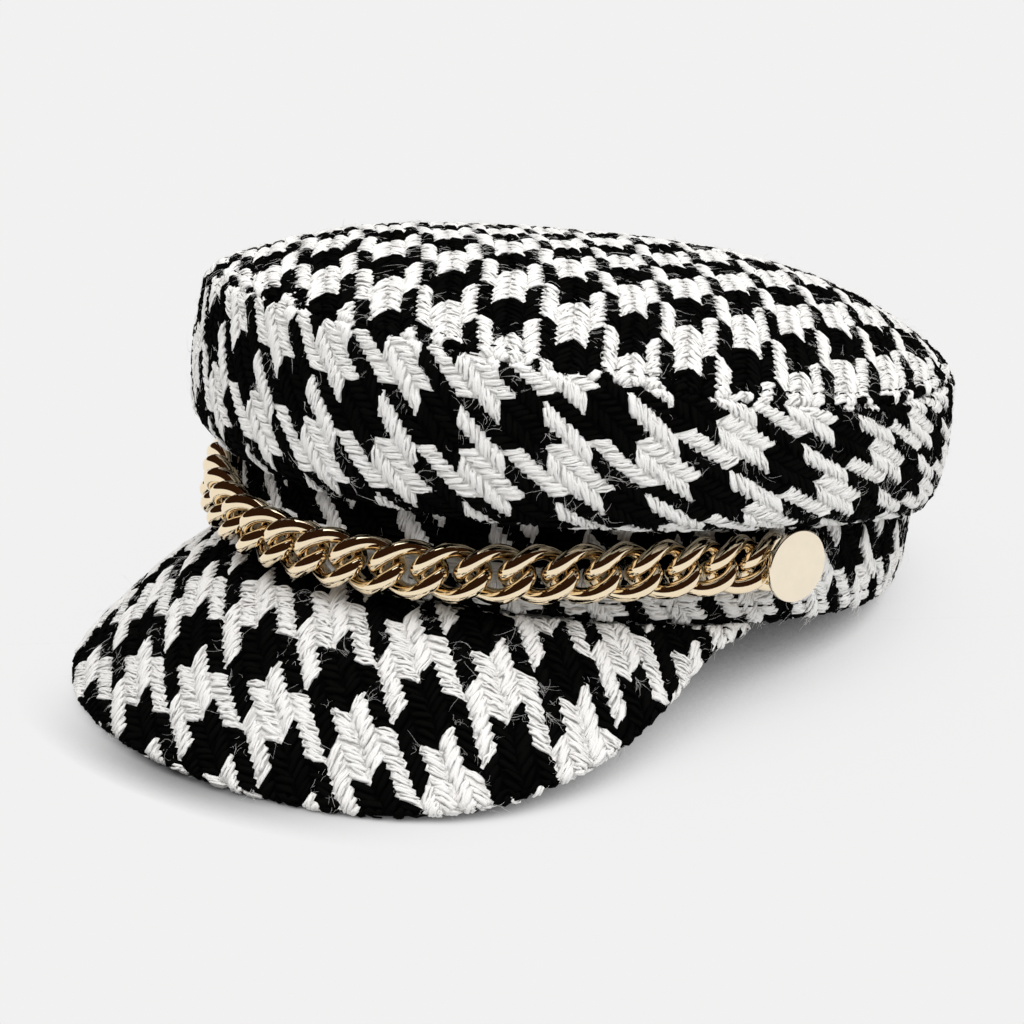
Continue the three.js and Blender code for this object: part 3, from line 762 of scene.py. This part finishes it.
def loose_fibres(name, yarn_ends, wisps, hairs, long, thick, steps, material, seed):
    draw = np.random.default_rng(seed)
    roots, headings, ups = (np.concatenate(kind) for kind in zip(*yarn_ends))
    picked = np.repeat(draw.choice(len(roots), wisps, replace=False), draw.geometric(1 / hairs, wisps))
    total = len(picked)
    ups = ups[picked]
    heading = headings[picked]
    heading /= np.linalg.norm(heading, axis=-1, keepdims=True)
    beside = np.cross(ups, heading)
    heading = heading + beside * draw.normal(0, 0.8, (total, 1))
    heading = heading + ups * draw.uniform(0.15, 0.9, (total, 1))
    heading /= np.linalg.norm(heading, axis=-1, keepdims=True)
    curl = np.cross(ups, heading) * draw.normal(0, 1.9 / steps, (total, 1))
    curl = curl - ups * draw.uniform(0, 0.2, (total, 1))
    step = draw.triangular(long[0], long[0], long[1], (total, 1)) / steps
    centres = [roots[picked] + ups * 0.2 + beside * draw.normal(0, 0.5, (total, 1))]
    for _ in range(steps):
        centres.append(centres[-1] + heading * step)
        heading = heading + curl + draw.normal(0, 0.12, (total, 3))
        heading /= np.linalg.norm(heading, axis=-1, keepdims=True)
    centres = np.stack(centres, 1)
    taper = thick * (1 - 0.6 * np.linspace(0, 1, steps + 1) ** 3)
    radius = taper * draw.uniform(0.7, 1.3, (total, 1))
    out = np.broadcast_to(ups[:, None], centres.shape)
    shades = draw.uniform(0, 1, total)
    fibres = yarn_tubes(name, centres, out, radius, radius, FIBRE_CORNERS, material, shades)


loose_fibres(
    "white_fuzz", white_ends, wisps=3000, hairs=2.1, long=(1.0, 3.4), thick=0.024, steps=3,
    material=WHITE_YARN, seed=53,
)
loose_fibres(
    "white_loose_fibres", white_ends, wisps=1300, hairs=1.9, long=(2.5, 9.0), thick=0.03, steps=5,
    material=WHITE_YARN, seed=51,
)
loose_fibres(
    "black_loose_fibres", black_ends, wisps=500, hairs=1.6, long=(1.2, 4.0), thick=0.026, steps=4,
    material=BLACK_YARN, seed=52,
)


# Chain: a heavy curb chain of bright gold links across the front of the headband, each link an oval
# ring of round wire twisted so that it lies flat against the next. The end links hang on the buttons.
LINK_COUNT = 25
LINK_WIRE = 4.4
LINK_LENGTH = 17.4
LINK_WIDTH = 11.8
LINK_TWIST = math.radians(55)
LINK_FULLEST = math.pi / 4
LINK_RISE = LINK_WIDTH / 2 * math.sin(LINK_FULLEST) * math.sin(LINK_TWIST * math.cos(LINK_FULLEST))
LINK_HALF_DEPTH = LINK_RISE + LINK_WIRE / 2
CHAIN_STAND_OFF = LINK_HALF_DEPTH + PIECE_GAP
CHAIN_SAG = 12.4
CHAIN_FRONT_REACH = 0.5
POST_TO_LINK = 3.0
BUTTON_ANGLE = math.radians(79.8)
BUTTON_HEIGHT = 20.1


def gold_finish(name, colour, roughness, scratch):
    material, tree, shader = new_material(name, roughness)
    shader.inputs["Metallic"].default_value = 1.0
    place = tree.nodes.new("ShaderNodeTexCoord")
    cloud = tree.nodes.new("ShaderNodeTexNoise")
    cloud.inputs["Scale"].default_value = 260.0
    cloud.inputs["Detail"].default_value = 4.0
    tree.links.new(place.outputs["Object"], cloud.inputs["Vector"])
    deep = tuple(c * 0.92 for c in colour[:3]) + (1,)
    tree.links.new(colour_between(tree, cloud.outputs["Fac"], colour, deep), shader.inputs["Base Color"])
    dull = tree.nodes.new("ShaderNodeMapRange")
    dull.inputs["To Min"].default_value = roughness * 0.8
    dull.inputs["To Max"].default_value = roughness * 1.3
    tree.links.new(cloud.outputs["Fac"], dull.inputs["Value"])
    tree.links.new(dull.outputs["Result"], shader.inputs["Roughness"])
    relief(tree, shader, cloud.outputs["Fac"], scratch, 0.0002)
    return material


CHAIN_GOLD = gold_finish("polished_chain_gold", (1.0, 0.84, 0.6, 1), 0.06, 0.03)


def one_link():
    """A ring drawn as an oval, twisted, and given its wire."""
    bpy.ops.object.select_all(action="DESELECT")
    bpy.ops.mesh.primitive_circle_add(vertices=56, radius=0.5)
    ring = bpy.context.active_object
    bpy.ops.object.mode_set(mode="EDIT")
    bpy.ops.mesh.select_all(action="SELECT")
    bpy.ops.transform.resize(value=(LINK_LENGTH / 1000, LINK_WIDTH / 1000, 1))
    bpy.ops.object.mode_set(mode="OBJECT")
    for corner in ring.data.vertices:
        turn = math.atan2(corner.co.y / LINK_WIDTH, corner.co.x / LINK_LENGTH)
        twist = -LINK_TWIST * math.cos(turn)
        aside = corner.co.y
        corner.co.y = aside * math.cos(twist)
        corner.co.z = aside * math.sin(twist)
    bpy.ops.object.convert(target="CURVE")
    ring.data.bevel_depth = LINK_WIRE / 2000
    ring.data.bevel_resolution = 6
    bpy.ops.object.convert(target="MESH")
    bpy.ops.object.shade_smooth()
    return ring


def off_band(angle):
    """The way straight off the headband at an angle round it."""
    return Vector((math.sin(angle) / BAND_HALF_WIDTH, -math.cos(angle) / BAND_HALF_LENGTH, 0)).normalized()


def chain_line():
    """The chain's middle line from button to button, with the angle round the band at each point."""
    angle = np.linspace(-BUTTON_ANGLE, BUTTON_ANGLE, 241)
    front = np.cos(angle) ** 2
    x = (BAND_HALF_WIDTH + CHAIN_STAND_OFF + CHAIN_FRONT_REACH * front) * np.sin(angle)
    y = BAND_CENTRE - (BAND_HALF_LENGTH + CHAIN_STAND_OFF + CHAIN_FRONT_REACH * front) * np.cos(angle)
    return angle, np.stack([x, y, BUTTON_HEIGHT - CHAIN_SAG * front], -1)


settle = Matrix.Translation(Vector(LIFTED) / 1000) @ Matrix.Rotation(-NOSE_UP, 4, "X")
angle_on_chain, chain_points = chain_line()
chain_far = lengths_along(chain_points, 0)
first_link = one_link()
for number in range(LINK_COUNT):
    far = POST_TO_LINK + number * (chain_far[-1] - 2 * POST_TO_LINK) / (LINK_COUNT - 1)
    at = Vector([np.interp(far, chain_far, chain_points[:, k]) for k in range(3)])
    ahead = Vector([np.interp(far + 0.5, chain_far, chain_points[:, k]) for k in range(3)])
    behind = Vector([np.interp(far - 0.5, chain_far, chain_points[:, k]) for k in range(3)])
    angle = np.interp(far, chain_far, angle_on_chain)
    along = (ahead - behind).normalized()
    across = off_band(angle).cross(along).normalized()
    off = along.cross(across)
    frame_of_link = Matrix((along, across, off)).transposed().to_4x4()
    frame_of_link.translation = at / 1000
    link = first_link.copy()
    link.data = first_link.data.copy()
    link.name = f"chain_link_{number + 1:02d}"
    link.data.name = link.name
    bpy.context.scene.collection.objects.link(link)
    link.data.transform(settle @ frame_of_link)
    link.data.materials.append(CHAIN_GOLD)
    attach(link, "root")
    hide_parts(f"link_{number + 1:02d}")
bpy.data.objects.remove(first_link)


# Buttons: two flat round discs of pale gold over the chain's ends, turned with a fine bevel at the rim.
# Each has a post through the end link and the headband, and a small plate inside that holds it.
BUTTON_RADIUS = 9.9
BUTTON_DISC = 1.6
BUTTON_BEVEL = 0.4
BUTTON_OVER_LINK = 1.3
BUTTON_UNDER = CHAIN_STAND_OFF + LINK_HALF_DEPTH + BUTTON_OVER_LINK
POST_RADIUS = 1.8
PLATE_RADIUS = 5.0
PLATE_TOP = -CLOTH_WALL - PIECE_GAP
PLATE_THICK = 1.0
BUTTON_GOLD = gold_finish("satin_button_gold", (1.0, 0.89, 0.71, 1), 0.14, 0.01)


def one_button(name):
    """A disc, post and plate turned in one: a cylinder whose ends are drawn out ring by ring."""
    bpy.ops.object.select_all(action="DESELECT")
    thick = BUTTON_DISC / 1000
    bpy.ops.mesh.primitive_cylinder_add(
        vertices=96, radius=BUTTON_RADIUS / 1000, depth=thick, location=(0, 0, BUTTON_UNDER / 1000 + thick / 2)
    )
    button = bpy.context.active_object
    button.name = name
    button.data.name = name
    bpy.ops.object.transform_apply(location=True)
    bevel = button.modifiers.new("rim", "BEVEL")
    bevel.width = BUTTON_BEVEL / 1000
    bevel.segments = 3
    bevel.limit_method = "ANGLE"
    bpy.ops.object.modifier_apply(modifier="rim")
    lowest = min(button.data.polygons, key=lambda face: face.center.z + face.normal.z).index
    for face in button.data.polygons:
        face.select = face.index == lowest
    bpy.ops.object.mode_set(mode="EDIT")
    bpy.ops.mesh.select_mode(type="FACE")
    bpy.ops.mesh.inset(thickness=(BUTTON_RADIUS - BUTTON_BEVEL - POST_RADIUS) / 1000)
    drop = (BUTTON_UNDER - PLATE_TOP) / 1000
    bpy.ops.mesh.extrude_region_move(TRANSFORM_OT_translate={"value": (0, 0, -drop)})
    grow = PLATE_RADIUS / POST_RADIUS
    bpy.ops.mesh.extrude_region_move(TRANSFORM_OT_translate={"value": (0, 0, 0)})
    bpy.ops.transform.resize(value=(grow, grow, 1))
    bpy.ops.mesh.extrude_region_move(TRANSFORM_OT_translate={"value": (0, 0, -PLATE_THICK / 1000)})
    bpy.ops.object.mode_set(mode="OBJECT")
    bpy.ops.object.shade_smooth_by_angle(angle=math.radians(30))
    return button


for name, side in (("left", 1), ("right", -1)):
    button = one_button(f"chain_button_{name}")
    angle = side * BUTTON_ANGLE
    off = off_band(angle)
    level = Vector((-off.y, off.x, 0))
    frame_of_button = Matrix((level, off.cross(level), off)).transposed().to_4x4()
    frame_of_button.translation = Vector(band_oval(np.array(angle), 0, BUTTON_HEIGHT)) / 1000
    button.data.transform(settle @ frame_of_button)
    button.data.materials.append(BUTTON_GOLD)
    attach(button, "root")
    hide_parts(f"button_{name}")


# Floor and light: a plain pale floor that glows evenly, with a painted soft shadow where the cap meets it, a soft
# box above and a little behind, wide soft fill from the front and the sides, and the photograph's camera.
FLOOR_SIZE = 60
FLOOR_DROP = 0.0002
FLOOR_BRIGHT = 0.88
# painted shade: how far out and how steeply the floor's glow is dimmed near the cap
SHADE_REACH = 1.0
SHADE_SOFTNESS = 0.25
SHADE_FALL = 1.5
# painted shadow: a patch of darker floor beside the front left edge of the peak, its place, width, reach, lean and
# steepness
PEAK_SHADE_AT = (-0.005, -0.146, 0)
PEAK_SHADE_WIDTH = 0.048
PEAK_SHADE_REACH = 0.016
PEAK_SHADE_LEAN = 0.7
PEAK_SHADE_FALL = 3.0
bpy.ops.object.select_all(action="DESELECT")
bpy.ops.mesh.primitive_plane_add(size=FLOOR_SIZE, location=(0, 0, -FLOOR_DROP))
bpy.ops.object.transform_apply(location=True)
floor = bpy.context.active_object
floor.name = "pale_floor"
floor_paint, floor_tree, floor_shader = new_material("pale_floor_paint", 0.9)
# the floor shows only its own glow, which the lamps do not change
floor_shader.inputs["Base Color"].default_value = (0, 0, 0, 1)
floor_shader.inputs["Specular IOR Level"].default_value = 0
floor_shader.inputs["Emission Color"].default_value = (1, 1, 0.998, 1)


def open_floor(reach, lean):
    """How far the floor lies open within reach, toward a sky that leans to the lit side; the floor's painted shade
    is drawn from it.
    """
    node = floor_tree.nodes.new("ShaderNodeAmbientOcclusion")
    node.samples = 16
    node.inputs["Distance"].default_value = reach
    toward = floor_tree.nodes.new("ShaderNodeCombineXYZ")
    for socket, value in zip(toward.inputs, Vector((0, lean, 1)).normalized()):
        socket.default_value = value
    floor_tree.links.new(toward.outputs["Vector"], node.inputs["Normal"])
    return node.outputs["AO"]


# painted shade: the glow falls off where little of the floor lies open within reach of the cap
open_share = sum_node(floor_tree, "DIVIDE", open_floor(SHADE_REACH, 0.0), SHADE_SOFTNESS)
open_share = sum_node(floor_tree, "POWER", open_share, SHADE_FALL)
shaded = sum_node(floor_tree, "EXPONENT", sum_node(floor_tree, "MULTIPLY", open_share, -1.0))
lit_share = sum_node(floor_tree, "MULTIPLY_ADD", shaded, -FLOOR_BRIGHT, FLOOR_BRIGHT)
# painted shadow: the patch beside the peak, darkest where the floor lies close under the peak's edge
from_shade = floor_tree.nodes.new("ShaderNodeVectorMath")
from_shade.operation = "DISTANCE"
floor_place = floor_tree.nodes.new("ShaderNodeTexCoord")
floor_tree.links.new(floor_place.outputs["Object"], from_shade.inputs[0])
from_shade.inputs[1].default_value = PEAK_SHADE_AT
far_share = sum_node(floor_tree, "DIVIDE", from_shade.outputs["Value"], PEAK_SHADE_WIDTH)
far_share = sum_node(floor_tree, "POWER", far_share, 2.0)
painted_peak_shadow = sum_node(floor_tree, "EXPONENT", sum_node(floor_tree, "MULTIPLY", far_share, -1.0))
open_near = sum_node(floor_tree, "POWER", open_floor(PEAK_SHADE_REACH, PEAK_SHADE_LEAN), PEAK_SHADE_FALL)
hidden_share = sum_node(floor_tree, "SUBTRACT", 1.0, open_near)
hidden_share = sum_node(floor_tree, "MULTIPLY", hidden_share, painted_peak_shadow)
clear_share = sum_node(floor_tree, "SUBTRACT", 1.0, hidden_share)
glow_with_painted_shade = sum_node(floor_tree, "MULTIPLY", lit_share, clear_share)
floor_tree.links.new(glow_with_painted_shade, floor_shader.inputs["Emission Strength"])
floor_paint.cycles.emission_sampling = "NONE"
floor.data.materials.append(floor_paint)

CAP_MIDDLE = Vector((0.0, -0.01, 0.045))
EYE = Vector((0.83112, -0.91234, 0.50367))
TARGET = Vector((0.000317, -0.012438, 0.038563))
UPWARD = Vector((-0.2311, 0.2698, 0.9348))


def soft_box(name, place, size, power, in_gold):
    light = bpy.data.lights.new(name, "AREA")
    light.shape = "RECTANGLE"
    light.size, light.size_y = size
    light.energy = power
    box = bpy.data.objects.new(name, light)
    box.location = place
    box.rotation_euler = (CAP_MIDDLE - Vector(place)).to_track_quat("-Z", "Y").to_euler()
    box.visible_glossy = in_gold
    bpy.context.scene.collection.objects.link(box)
    return box


top_box = soft_box("top_box", (-0.2, 0.22, 1.3), (0.6, 1.2), 4.2, True)
top_box.rotation_euler = (0, 0, math.atan2(EYE.y, EYE.x) + math.pi / 2)
soft_box("front_left_fill", (-0.75, -0.75, 1.35), (1.2, 1.2), 12.5, False)
soft_box("front_right_fill", (0.75, -0.75, 1.35), (1.2, 1.2), 12.5, False)
soft_box("right_fill", (1.15, 0.35, 1.1), (1.2, 1.2), 13, False)

world = bpy.data.worlds.new("dim_studio")
bpy.context.scene.world = world
world.use_nodes = True
world.node_tree.nodes["Background"].inputs["Color"].default_value = (0.026, 0.011, 0.005, 1)
bpy.context.scene.view_settings.view_transform = "Standard"

lens = bpy.data.cameras.new("photo_camera")
lens.sensor_width = 36
lens.lens = 167.5
lens.clip_start = 0.05
camera = bpy.data.objects.new("photo_camera", lens)
backward = (EYE - TARGET).normalized()
rightward = UPWARD.cross(backward).normalized()
upward = backward.cross(rightward)
looking = Matrix((rightward, upward, backward)).transposed().to_4x4()
camera.matrix_world = Matrix.Translation(EYE) @ looking
bpy.context.scene.collection.objects.link(camera)
bpy.context.scene.camera = camera
